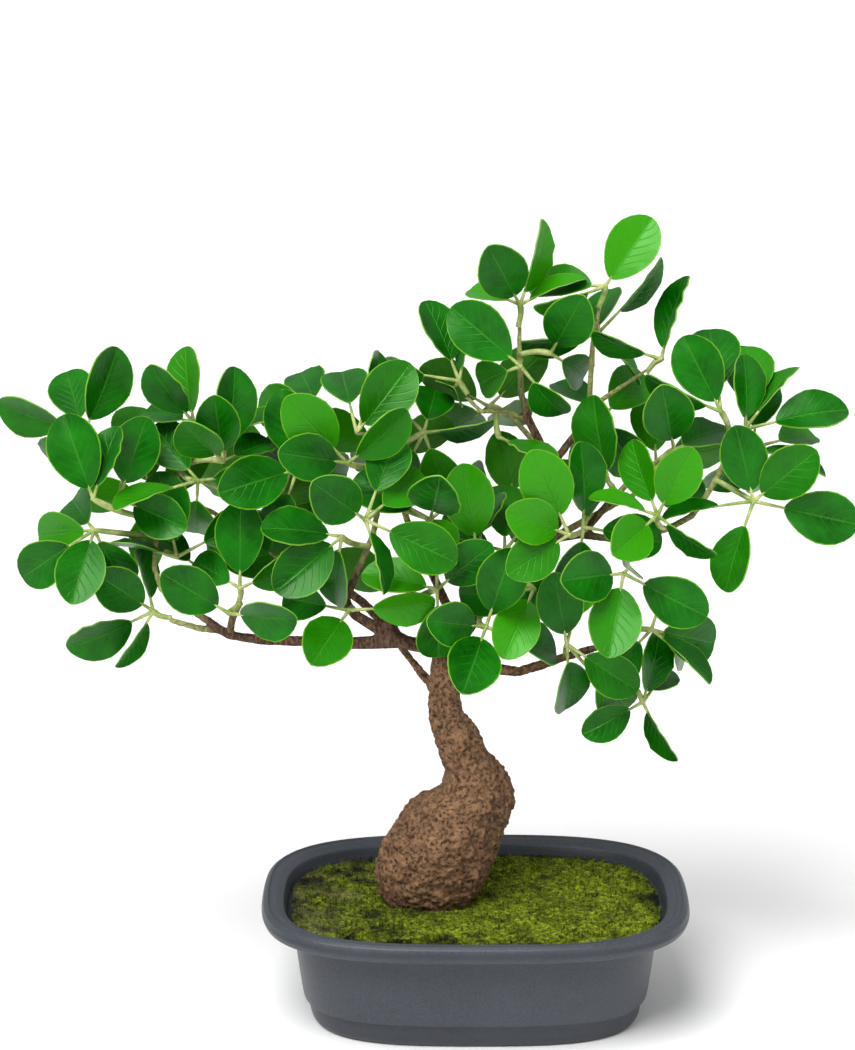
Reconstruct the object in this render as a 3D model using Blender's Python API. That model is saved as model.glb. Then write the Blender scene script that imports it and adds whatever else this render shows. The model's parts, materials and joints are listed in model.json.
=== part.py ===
"""Small-leaved ornamental tree in a low oval pot.  Lengths are millimetres, angles are degrees."""
import math
import random

import bmesh
import bpy
from mathutils import Matrix, Vector
from mathutils.bvhtree import BVHTree

MM = 0.001
GAP = 0.4                      # clear space left between two pieces that meet

# Pot
POT_WIDTH, POT_DEPTH, POT_HEIGHT = 200.0, 152.0, 58.0
POT_CORNER = 3.1               # exponent of the outline: 2 is an ellipse, more is squarer
POT_WALL = 3.0
OUTLINE_POINTS = 40
POT_FLOOR = 4.0
DRAIN_HOLE_RADIUS, DRAIN_HOLE_SPACING = 5.0, 74.0
SOIL_TOP, MOSS_TOP = 43.6, 51.2

# Leaves: length and width of each size
LARGE, MEDIUM, SMALL = (34.0, 24.0), (30.0, 21.0), (25.5, 17.5)
BLADE_THICKNESS, BLADE_FOLD, BLADE_ARCH = 1.1, 0.13, 0.14
BLADE_OUTLINE = ((0.15, 0.58), (0.48, 1.0), (0.8, 0.84), (1.0, 0.26))   # share of length, of width
STALK_RADIUS, TWIG_RADIUS, KNOB_RADIUS = 0.75, 1.15, 2.0

# How a blade is held: lean of its tip towards the viewer's side, and roll about its length
OPEN, TURN, EDGE = (5, 5), (0, 40), (0, 68)
FORE, NEAR, TURN_NEAR = (32, 0), (52, 5), (38, 38)
AWAY, FAR, TURN_AWAY = (-32, 0), (-52, 5), (-38, 38)
FRONT, BACK = 0, 180

# Trunk rings, from the root upwards: height, centre x, centre y, half width, half depth
TRUNK = ((37, -24, 4, 9, 9), (44, -24, 4, 13, 13), (51, -22, 4, 21, 19), (60, -20, 4, 26, 23),
         (69, -18, 4, 28, 25), (80, -15, 3, 27.5, 25), (90, -11, 3, 26.5, 24), (99, -6, 3, 23.5, 22),
         (105.5, 0, 3, 17, 17), (116, -1, 3, 14, 13.5), (125, -6, 3, 11.8, 11), (135, -9, 3, 11, 10),
         (144, -13.5, 3, 8.2, 8), (156, -14.5, 3, 7.2, 7), (170, -14, 3, 6.4, 6.2),
         (179, -10, 5, 5, 5), (184, -7, 6, 3, 3))

# Branches: points of the centre line with the radius there (x, y, z, radius)
BRANCHES = {
    "left": ((-12, 3, 173, 4.2), (-35, 0, 178, 3.6), (-57, -2, 178, 3.2), (-76, -3, 179, 2.8),
             (-98, -4, 180, 2.6), (-113, -3, 182, 2.4), (-128, -1, 192, 2.0), (-144, 0, 203, 1.7),
             (-147, 0, 214, 1.5)),
    "side_stem": ((-17, 7, 150, 2.6), (-31, 9, 168, 2.2), (-37, 3, 178, 2.0)),
    "left_low": ((-116, -2, 184, 2.0), (-127, 1, 184, 1.8), (-141, 2, 188, 1.5)),
    "left_stub": ((-113, -3, 182, 2.2), (-111, -9, 192, 2.0), (-107, -11, 200, 1.7)),
    "left_rise": ((-147, 0, 212, 1.7), (-146, 5, 228, 1.6), (-140, 7, 244, 1.5), (-133, 8, 262, 1.3)),
    "middle": ((-33, 1, 178, 3.6), (-44, -1, 184, 3.2), (-55, -2, 191, 2.8), (-62, 0, 199, 2.4),
               (-71, 3, 206, 2.1), (-87, 5, 214, 1.9), (-94, 5, 219, 1.7), (-92, 5, 238, 1.5),
               (-86, 6, 254, 1.4), (-80, 8, 272, 1.2)),
    "broken_stub": ((-36, 0, 178, 3.9), (-41, -2, 189, 3.5)),
    "middle_rise": ((-60, 0, 197, 2.2), (-54, 0, 212, 2.0), (-47, 2, 228, 1.8), (-44, 3, 246, 1.6),
                    (-42, 4, 262, 1.3)),
    "right_low": ((-12, 3, 170, 3.4), (10, 0, 165, 3.0), (20, -1, 164, 2.8), (32, -1, 168, 2.5),
                  (45, 0, 172, 2.2), (60, 2, 176, 1.9), (72, 3, 180, 1.5)),
    "right_drop": ((60, 2, 176, 1.8), (70, 3, 165, 1.5), (76, 3, 156, 1.2)),
    "leader": ((-8, 5, 178, 4.2), (6, 8, 197, 3.6), (22, 10, 216, 3.2), (37, 8, 232, 2.9),
               (36, 6, 252, 2.6), (33, 5, 262, 2.4), (24, 4, 280, 2.2), (20, 3, 293, 1.9),
               (19, 4, 310, 1.6), (19, 3, 326, 1.3)),
    "upper_left": ((23, 4, 281, 1.9), (13, 7, 285, 1.7), (2, 9, 284, 1.5), (-5, 11, 291, 1.3)),
    "upper_right": ((34, 5, 260, 2.2), (45, 8, 274, 2.0), (51, 9, 288, 1.8), (52, 7, 316, 1.6),
                    (55, 4, 334, 1.3)),
    "right_up": ((50, 9, 285, 1.7), (67, 8, 297, 1.4), (77, 7, 304, 1.2)),
    "right_middle": ((30, 9, 224, 2.6), (48, 3, 228, 2.3), (60, 2, 243, 2.0), (70, 2, 254, 1.7),
                     (84, 2, 264, 1.4)),
    "right_out": ((48, 3, 228, 2.2), (68, 3, 225, 2.0), (87, 2, 231, 1.9), (98, 2, 237, 1.8),
                  (106, 3, 249, 1.7), (112, 4, 261, 1.5), (116, 4, 272, 1.2)),
    "back_left": ((-34, 1, 178, 2.8), (-52, 16, 192, 2.4), (-74, 26, 206, 2.0), (-104, 30, 222, 1.7),
                  (-128, 26, 236, 1.3)),
    "back_middle": ((-8, 6, 182, 2.8), (-18, 20, 200, 2.4), (-30, 30, 222, 2.0), (-38, 32, 248, 1.5)),
    "back_right": ((20, 10, 214, 2.6), (34, 24, 220, 2.2), (56, 32, 230, 1.9), (84, 30, 246, 1.4)),
    "back_top": ((34, 6, 256, 2.0), (26, 20, 268, 1.8), (14, 28, 280, 1.4)),
}

# Sprays of leaves: the knob they grow from, the side they face, and for each leaf its bearing
# (clockwise from upright), the length of its stalk, its size and how it is held
SPRAYS = {
    "far_left_top": ((-178, 8, 275), FRONT, (
        (25, 4, LARGE, TURN), (-20, 5, MEDIUM, AWAY), (-75, 9, MEDIUM, TURN), (-120, 9, SMALL, FAR))),
    "far_left_upper": ((-172, -18, 250), FRONT, ((-20, 3, LARGE, OPEN), (15, 4, MEDIUM, TURN))),
    "far_left_lower": ((-173, -8, 233), FRONT, (
        (265, 3, MEDIUM, AWAY), (-42, 3, MEDIUM, FAR), (195, 3, LARGE, FORE), (238, 12, MEDIUM, AWAY),
        (155, 4, MEDIUM, AWAY))),
    "left_shoulder": ((-162, -2, 246), FRONT, (
        (8, 20, MEDIUM, AWAY), (20, 6, LARGE, FORE), (113, 6, MEDIUM, FORE))),
    "left_low_tip": ((-148, 2, 192), FRONT, (
        (-55, 4, MEDIUM, FORE), (-18, 4, MEDIUM, EDGE), (243, 9, LARGE, TURN), (208, 4, SMALL, EDGE))),
    "left_top": ((-128, 4, 280), FRONT, (
        (-10, 3, MEDIUM, TURN), (-40, 4, MEDIUM, TURN_NEAR), (-72, 4, SMALL, TURN_AWAY))),
    "left_crest": ((-114, -8, 265), FRONT, (
        (10, 7, LARGE, TURN), (-6, 3, MEDIUM, FORE), (-50, 3, MEDIUM, TURN_NEAR),
        (62, 4, SMALL, TURN_AWAY))),
    "left_heart": ((-126, -4, 255), FRONT, (
        (70, 5, MEDIUM, TURN), (255, 10, MEDIUM, EDGE), (-40, 5, MEDIUM, AWAY),
        (110, 8, SMALL, TURN_AWAY), (185, 8, MEDIUM, FAR))),
    "left_inner": ((-136, -6, 220), FRONT, (
        (-5, 5, LARGE, OPEN), (-75, 6, SMALL, TURN_AWAY), (62, 12, SMALL, AWAY))),
    "left_under": ((-125, 6, 210), FRONT, ((75, 8, MEDIUM, AWAY), (20, 6, MEDIUM, TURN_AWAY), (-60, 6, SMALL, TURN))),
    "left_front_low": ((-112, -22, 198), FRONT, ((-58, 4, MEDIUM, FORE), (98, 4, MEDIUM, TURN_NEAR))),
    "left_front": ((-107, -16, 208), FRONT, (
        (0, 5, LARGE, OPEN), (67, 4, SMALL, TURN_AWAY), (-60, 4, SMALL, FAR))),
    "middle_top": ((-71, 14, 282), FRONT, (
        (-80, 4, MEDIUM, AWAY), (-25, 7, MEDIUM, FAR), (-96, 9, LARGE, EDGE))),
    "middle_left": ((-81, -2, 260), FRONT, (
        (-58, 4, MEDIUM, AWAY), (252, 3, LARGE, FORE), (-12, 4, MEDIUM, TURN_AWAY),
        (200, 10, MEDIUM, AWAY), (95, 6, MEDIUM, FAR))),
    "middle_front": ((-58, -20, 267), FRONT, (
        (-43, 7, LARGE, FORE), (-82, 3, MEDIUM, FORE), (53, 3, MEDIUM, TURN))),
    "middle_crest": ((-54, -8, 278), FRONT, (
        (38, 3, LARGE, OPEN), (20, 9, MEDIUM, EDGE), (-14, 14, MEDIUM, FAR), (95, 8, MEDIUM, FAR))),
    "middle_heart": ((-50, -28, 243), FRONT, (
        (-55, 3, LARGE, NEAR), (160, 4, MEDIUM, EDGE), (115, 10, LARGE, OPEN), (50, 9, MEDIUM, AWAY),
        (20, 12, MEDIUM, AWAY))),
    "middle_low": ((-61, -12, 231), FRONT, (
        (-80, 4, MEDIUM, TURN), (230, 4, LARGE, FORE), (190, 5, MEDIUM, TURN_AWAY))),
    "middle_under": ((-58, -14, 197), FRONT, (
        (215, 4, LARGE, NEAR), (87, 9, MEDIUM, TURN), (-80, 9, SMALL, AWAY))),
    "centre_top": ((-24, 6, 275), FRONT, (
        (15, 5, MEDIUM, FAR), (85, 5, MEDIUM, EDGE), (160, 6, MEDIUM, AWAY), (-45, 7, MEDIUM, TURN_AWAY), (215, 8, MEDIUM, AWAY))),
    "centre_left": ((-21, -12, 239), FRONT, (
        (12, 3, LARGE, NEAR), (50, 12, MEDIUM, TURN_AWAY), (-60, 8, MEDIUM, AWAY))),
    "centre_middle": ((0, -14, 226), FRONT, ((-10, 4, LARGE, FORE), (14, 6, MEDIUM, TURN_AWAY))),
    "centre_low": ((-18, -18, 208), FRONT, (
        (-75, 3, MEDIUM, TURN), (50, 4, MEDIUM, FORE), (185, 6, MEDIUM, FAR), (0, 7, MEDIUM, AWAY))),
    "trunk_top": ((4, -24, 192), FRONT, (
        (-83, 4, MEDIUM, NEAR), (200, 4, LARGE, NEAR), (18, 6, LARGE, FORE), (108, 12, MEDIUM, TURN_AWAY))),
    "centre_inner": ((26, -10, 206), FRONT, ((205, 4, MEDIUM, FORE), (250, 5, MEDIUM, FAR))),
    "crown_left": ((-8, 10, 298), FRONT, (
        (-20, 8, MEDIUM, TURN), (-4, 3, SMALL, EDGE), (-80, 15, SMALL, TURN_AWAY), (220, 3, SMALL, FAR))),
    "crown_left_low": ((10, 6, 273), FRONT, ((100, 3, MEDIUM, EDGE), (-45, 10, MEDIUM, TURN_AWAY))),
    "crown_tip_left": ((19, 0, 335), FRONT, (
        (-32, 3, LARGE, NEAR), (-65, 4, SMALL, TURN_AWAY), (62, 3, SMALL, EDGE), (45, 4, LARGE, EDGE))),
    "crown_front": ((19, -14, 310), FRONT, (
        (-50, 4, LARGE, OPEN), (250, 5, SMALL, FAR), (140, 8, SMALL, TURN_AWAY))),
    "crown_middle": ((33, 4, 312), FRONT, ((30, 3, LARGE, NEAR), (120, 5, SMALL, FAR))),
    "crown_tip": ((57, 2, 343), FRONT, (
        (34, 2, LARGE, OPEN), (-78, 4, MEDIUM, TURN), (262, 6, SMALL, EDGE))),
    "crown_right": ((54, 8, 319), FRONT, (
        (45, 13, MEDIUM, EDGE), (15, 3, SMALL, TURN_AWAY), (130, 6, SMALL, EDGE), (258, 4, MEDIUM, EDGE))),
    "crown_base": ((58, 14, 281), FRONT, ((42, 3, MEDIUM, AWAY), (-50, 8, SMALL, TURN_AWAY), (150, 5, MEDIUM, AWAY))),
    "right_spike": ((83, 6, 309), FRONT, ((12, 3, LARGE, EDGE), (-75, 6, SMALL, EDGE))),
    "right_crest": ((109, -8, 288), FRONT, (
        (-27, 3, LARGE, OPEN), (-4, 10, LARGE, AWAY), (-70, 5, MEDIUM, EDGE))),
    "right_top": ((121, 0, 278), FRONT, (
        (5, 11, LARGE, AWAY), (2, 3, MEDIUM, TURN), (22, 8, MEDIUM, EDGE), (76, 12, LARGE, TURN))),
    "right_side": ((125, 6, 268), FRONT, (
        (75, 12, SMALL, TURN_AWAY), (105, 3, MEDIUM, EDGE), (160, 6, SMALL, FAR),
        (220, 3, MEDIUM, TURN_AWAY), (10, 8, MEDIUM, AWAY))),
    "right_end": ((125, -6, 246), FRONT, (
        (50, 3, LARGE, FORE), (103, 12, LARGE, OPEN), (-15, 3, MEDIUM, FORE), (200, 10, MEDIUM, TURN),
        (263, 14, SMALL, EDGE))),
    "right_inner": ((89, -2, 269), FRONT, ((-15, 3, LARGE, FORE), (65, 3, MEDIUM, TURN_AWAY), (165, 5, MEDIUM, AWAY))),
    "right_heart": ((81, -16, 242), FRONT, (
        (-22, 5, MEDIUM, TURN), (26, 4, MEDIUM, FORE), (230, 5, MEDIUM, NEAR), (-70, 4, SMALL, EDGE),
        (130, 4, SMALL, EDGE))),
    "centre_right_high": ((60, 0, 253), FRONT, ((-15, 4, LARGE, TURN), (-50, 4, SMALL, TURN_AWAY))),
    "centre_right": ((48, -10, 235), FRONT, ((8, 5, LARGE, TURN), (30, 4, SMALL, EDGE), (185, 5, MEDIUM, AWAY), (100, 7, MEDIUM, AWAY))),
    "centre_right_front": ((41, -24, 235), FRONT, (
        (-25, 8, LARGE, FORE), (-70, 4, MEDIUM, FORE), (238, 4, MEDIUM, FORE))),
    "centre_back": ((13, 4, 216), FRONT, (
        (0, 5, MEDIUM, AWAY), (32, 8, MEDIUM, TURN_AWAY), (150, 8, MEDIUM, FAR), (-75, 6, MEDIUM, AWAY))),
    "right_front": ((66, -20, 216), FRONT, (
        (265, 4, LARGE, NEAR), (192, 5, LARGE, FORE), (118, 8, LARGE, OPEN), (30, 4, SMALL, FAR))),
    "low_front": ((41, -14, 181), FRONT, (
        (-18, 3, MEDIUM, FORE), (124, 8, MEDIUM, OPEN), (175, 7, MEDIUM, TURN_AWAY),
        (138, 22, MEDIUM, AWAY), (8, 12, MEDIUM, FAR))),
    "low_drop": ((77, 0, 149), FRONT, (
        (10, 3, MEDIUM, TURN), (40, 6, SMALL, FAR), (156, 3, SMALL, EDGE), (255, 5, SMALL, AWAY))),
    "low_right": ((80, -4, 185), FRONT, (
        (103, 4, LARGE, AWAY), (127, 4, MEDIUM, EDGE), (120, 14, MEDIUM, AWAY), (20, 8, SMALL, FAR), (215, 6, MEDIUM, AWAY))),
    "back_far_left": ((-150, 30, 240), BACK, (
        (14, 5, MEDIUM, FORE), (95, 5, MEDIUM, OPEN), (175, 5, MEDIUM, TURN), (-70, 6, MEDIUM, NEAR))),
    "back_left": ((-106, 42, 234), BACK, (
        (10, 5, LARGE, FORE), (80, 5, MEDIUM, NEAR), (190, 5, MEDIUM, FORE), (-75, 5, MEDIUM, OPEN))),
    "back_left_low": ((-72, 38, 214), BACK, (
        (30, 5, MEDIUM, NEAR), (120, 5, MEDIUM, FORE), (230, 5, MEDIUM, OPEN))),
    "back_middle": ((-42, 42, 258), BACK, (
        (0, 5, MEDIUM, FORE), (70, 5, LARGE, OPEN), (150, 5, MEDIUM, NEAR), (-80, 5, MEDIUM, FORE))),
    "back_centre": ((6, 38, 280), BACK, (
        (60, 5, MEDIUM, OPEN), (140, 5, MEDIUM, FORE), (220, 5, MEDIUM, NEAR), (-50, 5, MEDIUM, FORE))),
    "back_centre_low": ((20, 42, 232), BACK, (
        (20, 5, MEDIUM, NEAR), (110, 5, MEDIUM, OPEN), (200, 5, LARGE, FORE), (-70, 5, MEDIUM, FORE))),
    "back_right": ((84, 40, 252), BACK, (
        (5, 5, MEDIUM, OPEN), (85, 5, MEDIUM, FORE), (170, 5, MEDIUM, NEAR), (-85, 5, LARGE, FORE))),
}


# ---------------------------------------------------------------- shapes
def loft(rings):
    """Closed solid through rings of equal point count: returns points and faces, facing out."""
    count = len(rings[0])
    points = [Vector(point) for ring in rings for point in ring]
    faces = []
    for row in range(len(rings) - 1):
        low, high = row * count, (row + 1) * count
        for i in range(count):
            j = (i + 1) % count
            faces.append((low + i, low + j, high + j, high + i))
    faces.append(tuple(reversed(range(count))))
    faces.append(tuple(range(len(points) - count, len(points))))
    return points, faces


def tube_mesh(routes, bevel_resolution):
    """Mesh in millimetres of round tubes, one for each route of (point, radius)."""
    curve = bpy.data.curves.new("tubes", "CURVE")
    curve.dimensions = "3D"
    curve.bevel_depth = 1.0
    curve.bevel_resolution = bevel_resolution
    curve.use_fill_caps = True
    for route in routes:
        spline = curve.splines.new("POLY")
        spline.points.add(len(route) - 1)
        for spot, (point, radius) in zip(spline.points, route):
            spot.co = (*point, 1.0)
            spot.radius = radius
    holder = bpy.data.objects.new("tubes", curve)
    bpy.context.scene.collection.objects.link(holder)
    graph = bpy.context.evaluated_depsgraph_get()
    made = bmesh.new()
    mesh = bpy.data.meshes.new_from_object(holder.evaluated_get(graph))
    made.from_mesh(mesh)
    bmesh.ops.remove_doubles(made, verts=made.verts, dist=0.001)
    bpy.data.objects.remove(holder, do_unlink=True)
    bpy.data.curves.remove(curve)
    bpy.data.meshes.remove(mesh)
    return made


def solid_of(made):
    """Points and faces of a bmesh, which is freed."""
    made.verts.index_update()
    points = [vertex.co.copy() for vertex in made.verts]
    faces = [tuple(vertex.index for vertex in face.verts) for face in made.faces]
    made.free()
    return points, faces


def leaf_solid(knob, base, frame, size, extra=0.0):
    """Stalk and blade: the blade is narrow at the stalk, widest past the middle, round at the tip."""
    along, side, normal = frame
    length, width = size
    radius = STALK_RADIUS + extra
    rings = []
    root = knob.lerp(base, 0.7 / (base - knob).length)
    for centre in (base,) if extra else (root, base):
        rings.append([centre + side * radius, centre + normal * radius,
                      centre - side * radius, centre - normal * radius])
    for step, share in BLADE_OUTLINE:
        half = width * share / 2 + extra
        reach = length * step + (extra if step == 1.0 else 0.0)
        middle = base + along * reach - normal * (length * BLADE_ARCH * step * step)
        thick = BLADE_THICKNESS / 2 + extra
        edge = normal * (half * 2 * BLADE_FOLD)
        rings.append([middle + side * half + edge, middle + normal * thick,
                      middle - side * half + edge, middle - normal * thick])
    return loft(rings)


def outline(inset, height, lift=0.0):
    """Ring of the pot's outline, moved in by inset."""
    half_x, half_y = POT_WIDTH / 2 - inset, POT_DEPTH / 2 - inset
    ring = []
    for k in range(OUTLINE_POINTS):
        a = math.tau * k / OUTLINE_POINTS
        c, s = math.cos(a), math.sin(a)
        x = math.copysign(abs(c) ** (2 / POT_CORNER), c) * half_x
        y = math.copysign(abs(s) ** (2 / POT_CORNER), s) * half_y
        bump = lift * math.sin(x * 0.21 + 1) * math.cos(y * 0.19 + x * 0.05)
        ring.append((x, y, height + bump))
    return ring


# ---------------------------------------------------------------- objects
def material(name, color, roughness):
    """Principled material of one piece."""
    made = bpy.data.materials.new(name)
    made.use_nodes = True
    shader = made.node_tree.nodes["Principled BSDF"]
    shader.inputs["Base Color"].default_value = (*color, 1.0)
    shader.inputs["Roughness"].default_value = roughness
    shader.inputs["Metallic"].default_value = 0.0
    return made


def make_object(name, solids, origin, collection, parent):
    """One mesh object from (points, faces) solids given in world millimetres."""
    mesh = bpy.data.meshes.new(name)
    points, faces = [], []
    for solid_points, solid_faces in solids:
        shift = len(points)
        points += [(Vector(p) - Vector(origin)) * MM for p in solid_points]
        faces += [tuple(i + shift for i in face) for face in solid_faces]
    mesh.from_pydata(points, [], faces)
    work = bmesh.new()
    work.from_mesh(mesh)
    bmesh.ops.recalc_face_normals(work, faces=work.faces)
    work.to_mesh(mesh)
    work.free()
    made = bpy.data.objects.new(name, mesh)
    made.location = Vector(origin) * MM
    collection.objects.link(made)
    made.parent = parent
    return made


def cut_or_join(target, tool, operation):
    """Exact boolean of target with tool; the tool stays as a hidden guide."""
    tool.hide_render = True
    tool.display_type = "WIRE"
    change = target.modifiers.new(operation.title(), "BOOLEAN")
    change.object = tool
    change.operation = operation
    change.solver = "EXACT"
    change.use_self = True


# ---------------------------------------------------------------- pot, soil and moss
def build_pot(parts, guides, parent):
    profile = ((34, 0), (25, 0), (23, 2), (22, 5), (21.5, 11), (19.2, 12), (18.6, 15), (17, 26),
               (15.6, 38), (14.8, 45), (5, 48), (1.2, 50), (0, 53), (0.8, 56.4), (3, POT_HEIGHT),
               (6.5, 57.4), (10.4, 55.4), (11.8, 52), (12.2, 49.4))
    inside = ((17.6, 45.6), (15.6 + POT_WALL, 38), (17 + POT_WALL, 26), (19.2 + POT_WALL, 14),
              (28, POT_FLOOR + 1.5), (36, POT_FLOOR))
    rings = [outline(inset, height) for inset, height in profile + inside]
    pot = make_object("pot", [loft(rings)], (0, 0, 0), parts, parent)
    pot.data.materials.append(material("dark_glazed_plastic", (0.07, 0.08, 0.1), 0.42))
    holes = bmesh.new()
    for side in (-1, 1):
        place = Matrix.Translation((side * DRAIN_HOLE_SPACING / 2, 0, POT_FLOOR / 2))
        bmesh.ops.create_cone(holes, cap_ends=True, segments=20, radius1=DRAIN_HOLE_RADIUS,
                              radius2=DRAIN_HOLE_RADIUS, depth=POT_FLOOR + 6, matrix=place)
    cutter = make_object("guide_drain_holes", [solid_of(holes)], (0, 0, 0), guides, parent)
    cut_or_join(pot, cutter, "DIFFERENCE")
    return pot


def trunk_rings(grow, top=999.0, sides=14):
    """Lumpy rings of the trunk, grown outwards to make its socket."""
    rings = []
    for height, x, y, half_width, half_depth in TRUNK:
        if height > top:
            break
        ring = []
        for k in range(sides):
            a = math.tau * k / sides
            lump = 1 + 0.05 * math.sin(3 * a + height * 0.07) + 0.03 * math.sin(5 * a - height * 0.11)
            ring.append((x + (half_width * lump + grow) * math.cos(a),
                         y + (half_depth * lump + grow) * math.sin(a), height))
        rings.append(ring)
    return rings


def build_ground(parts, guides, parent):
    """Soil and the moss on it, both fitted round the root."""
    soil_profile = ((37, POT_FLOOR + GAP), (29.2, POT_FLOOR + 2.4), (23.2, 14.5), (20.6, 26),
                    (19.2, 38), (18.4, SOIL_TOP))
    soil = make_object("soil", [loft([outline(i, z) for i, z in soil_profile])], (0, 0, 0), parts, parent)
    soil.data.materials.append(material("dark_soil", (0.06, 0.045, 0.03), 0.95))
    moss_rings = [outline(18.4, SOIL_TOP + GAP), outline(17.4, 47), outline(12.9, 50.2), outline(13.6, MOSS_TOP)]
    moss_rings += [outline(inset, MOSS_TOP + rise, 0.45)
                   for inset, rise in ((19, 0.5), (30, 1.0), (43, 1.4), (56, 1.7), (66, 1.8))]
    moss = make_object("moss", [loft(moss_rings)], (0, 0, 0), parts, parent)
    moss.data.materials.append(material("green_moss", (0.3, 0.38, 0.08), 0.95))
    rings = trunk_rings(GAP + 0.2, top=70)
    floor = [(x, y, z - GAP - 0.6) for x, y, z in rings[0]]
    socket = make_object("guide_root_socket", [loft([floor] + rings)], (0, 0, 0), guides, parent)
    cut_or_join(soil, socket, "DIFFERENCE")
    cut_or_join(moss, socket, "DIFFERENCE")


# ---------------------------------------------------------------- wood
def branch_route(points):
    return [(Vector(point[:3]), point[3]) for point in points]


def build_wood(parts, guides, parent):
    """Trunk and every branch as one grown piece; returns the solids that leaves must clear."""
    trunk_solid = loft(trunk_rings(0.0))
    routes = [branch_route(points) for points in BRANCHES.values()]
    limbs = [solid_of(tube_mesh([route], 1)) for route in routes]
    trunk = make_object("trunk_and_branches", [trunk_solid], (0, 0, 0), parts, parent)
    trunk.data.materials.append(material("brown_bark", (0.2, 0.12, 0.07), 0.85))
    cut_or_join(trunk, make_object("guide_branches", limbs, (0, 0, 0), guides, parent), "UNION")
    return [trunk_solid] + limbs


# ---------------------------------------------------------------- leaves
class Space:
    """What is already placed, so that a new piece can be kept clear of it."""

    def __init__(self):
        self.items = []

    def add(self, solid, owner):
        points, faces = solid
        low = Vector([min(p[i] for p in points) for i in range(3)])
        high = Vector([max(p[i] for p in points) for i in range(3)])
        self.items.append((BVHTree.FromPolygons(points, faces), low, high, owner))

    def clear(self, solid, skip=()):
        points, faces = solid
        low = [min(p[i] for p in points) for i in range(3)]
        high = [max(p[i] for p in points) for i in range(3)]
        tree = None
        for other, other_low, other_high, owner in self.items:
            if owner in skip or any(low[i] > other_high[i] or high[i] < other_low[i] for i in range(3)):
                continue
            tree = tree or BVHTree.FromPolygons(points, faces)
            if tree.overlap(other):
                return False
        return True


def room(space, route, radius, skip=()):
    """True if a tube along the route, of this radius, would touch nothing."""
    for start, end in zip(route, route[1:]):
        steps = max(2, int((end - start).length / 1.2))
        for k in range(steps + 1):
            spot = start.lerp(end, k / steps)
            for other, low, high, owner in space.items:
                if owner in skip or any(spot[i] < low[i] - radius or spot[i] > high[i] + radius
                                        for i in range(3)):
                    continue
                if other.find_nearest(spot, radius)[0] is not None:
                    return False
    return True


def leaf_frame(facing, bearing, lean, roll):
    """Stalk direction and the blade's (along, side, normal)."""
    turn = Matrix.Rotation(math.radians(facing), 3, "Z")
    right = turn @ Vector((1, 0, 0))
    front = turn @ Vector((0, -math.cos(math.radians(15)), math.sin(math.radians(15))))
    up = front.cross(right) * -1
    if up.z < 0:
        up = -up
    b, tilt = math.radians(bearing), math.radians(lean)
    level = right * math.sin(b) + up * math.cos(b)
    stalk = level * math.cos(tilt / 2) + front * math.sin(tilt / 2)
    along = level * math.cos(tilt) + front * math.sin(tilt)
    normal = front * math.cos(tilt) - level * math.sin(tilt)
    normal = Matrix.Rotation(math.radians(roll), 3, along) @ normal
    return stalk, (along, along.cross(normal), normal)


def settle_twig(place, space):
    """Route of a twig from the nearest free stretch of a branch to the knob, moved if it must be."""
    nudges = [Vector((x, y, z)) for x in (0, 4, -4) for y in (0, -4, 4, -9, 9) for z in (0, 4, -4)]
    for nudge in sorted(nudges, key=lambda move: move.length):
        knob = Vector(place) + nudge
        if not room(space, [knob, knob], KNOB_RADIUS + GAP):
            continue
        starts = []
        for points in BRANCHES.values():
            route = branch_route(points)
            for (a, radius_a), (b, _) in zip(route, route[1:]):
                for step in (0.15, 0.4, 0.65, 0.9):
                    spot = a.lerp(b, step)
                    starts.append(((knob - spot).length, tuple(spot), radius_a))
        for distance, spot, radius in sorted(starts)[:24]:
            spot = Vector(spot)
            way = (knob - spot).normalized()
            for bow in (0.12, -0.12, 0.0, 0.25, -0.25):
                sideways = way.orthogonal().normalized() * bow * distance
                for lift in (0.5, 0.9, 1.4, 2.0, 2.8):
                    begin = spot + way * (radius + TWIG_RADIUS + lift)
                    if (knob - begin).dot(way) < KNOB_RADIUS + 0.8:
                        continue
                    route = [begin, begin.lerp(knob, 0.5) + sideways, knob]
                    if room(space, route, TWIG_RADIUS + GAP):
                        return route
    return None


def settle_leaf(name, knob, facing, leaf, space, rng):
    """Leaf at the first attitude near the wished one that touches nothing."""
    bearing, reach, size, (lean, roll) = leaf
    hand = rng.choice((-1, 1))
    scale = rng.uniform(0.94, 1.04)
    size = (size[0] * scale, size[1] * scale)
    tries = [(abs(more_lean) + abs(more_roll) * 0.8 + abs(turn) * 1.6, more_lean, more_roll, turn)
             for more_lean in (0, 10, -10, 20, -20, 32, -32, 46, -46)
             for more_roll in (0, 14, -14, 28, -28, 45, -45)
             for turn in (0, 7, -7, 14, -14, 24, -24)]
    for _, more_lean, more_roll, turn in sorted(tries):
        stalk, frame = leaf_frame(facing, bearing + turn, lean + more_lean, hand * roll + more_roll)
        base = knob + stalk * (reach + KNOB_RADIUS)
        if not space.clear(leaf_solid(knob, base, frame, size, 0.45)):
            continue
        start = knob + stalk * (KNOB_RADIUS + 1.2)
        if room(space, [start, base], STALK_RADIUS + GAP + 0.3, skip=(name,)):
            return leaf_solid(knob, base, frame, size)
    return None


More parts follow.
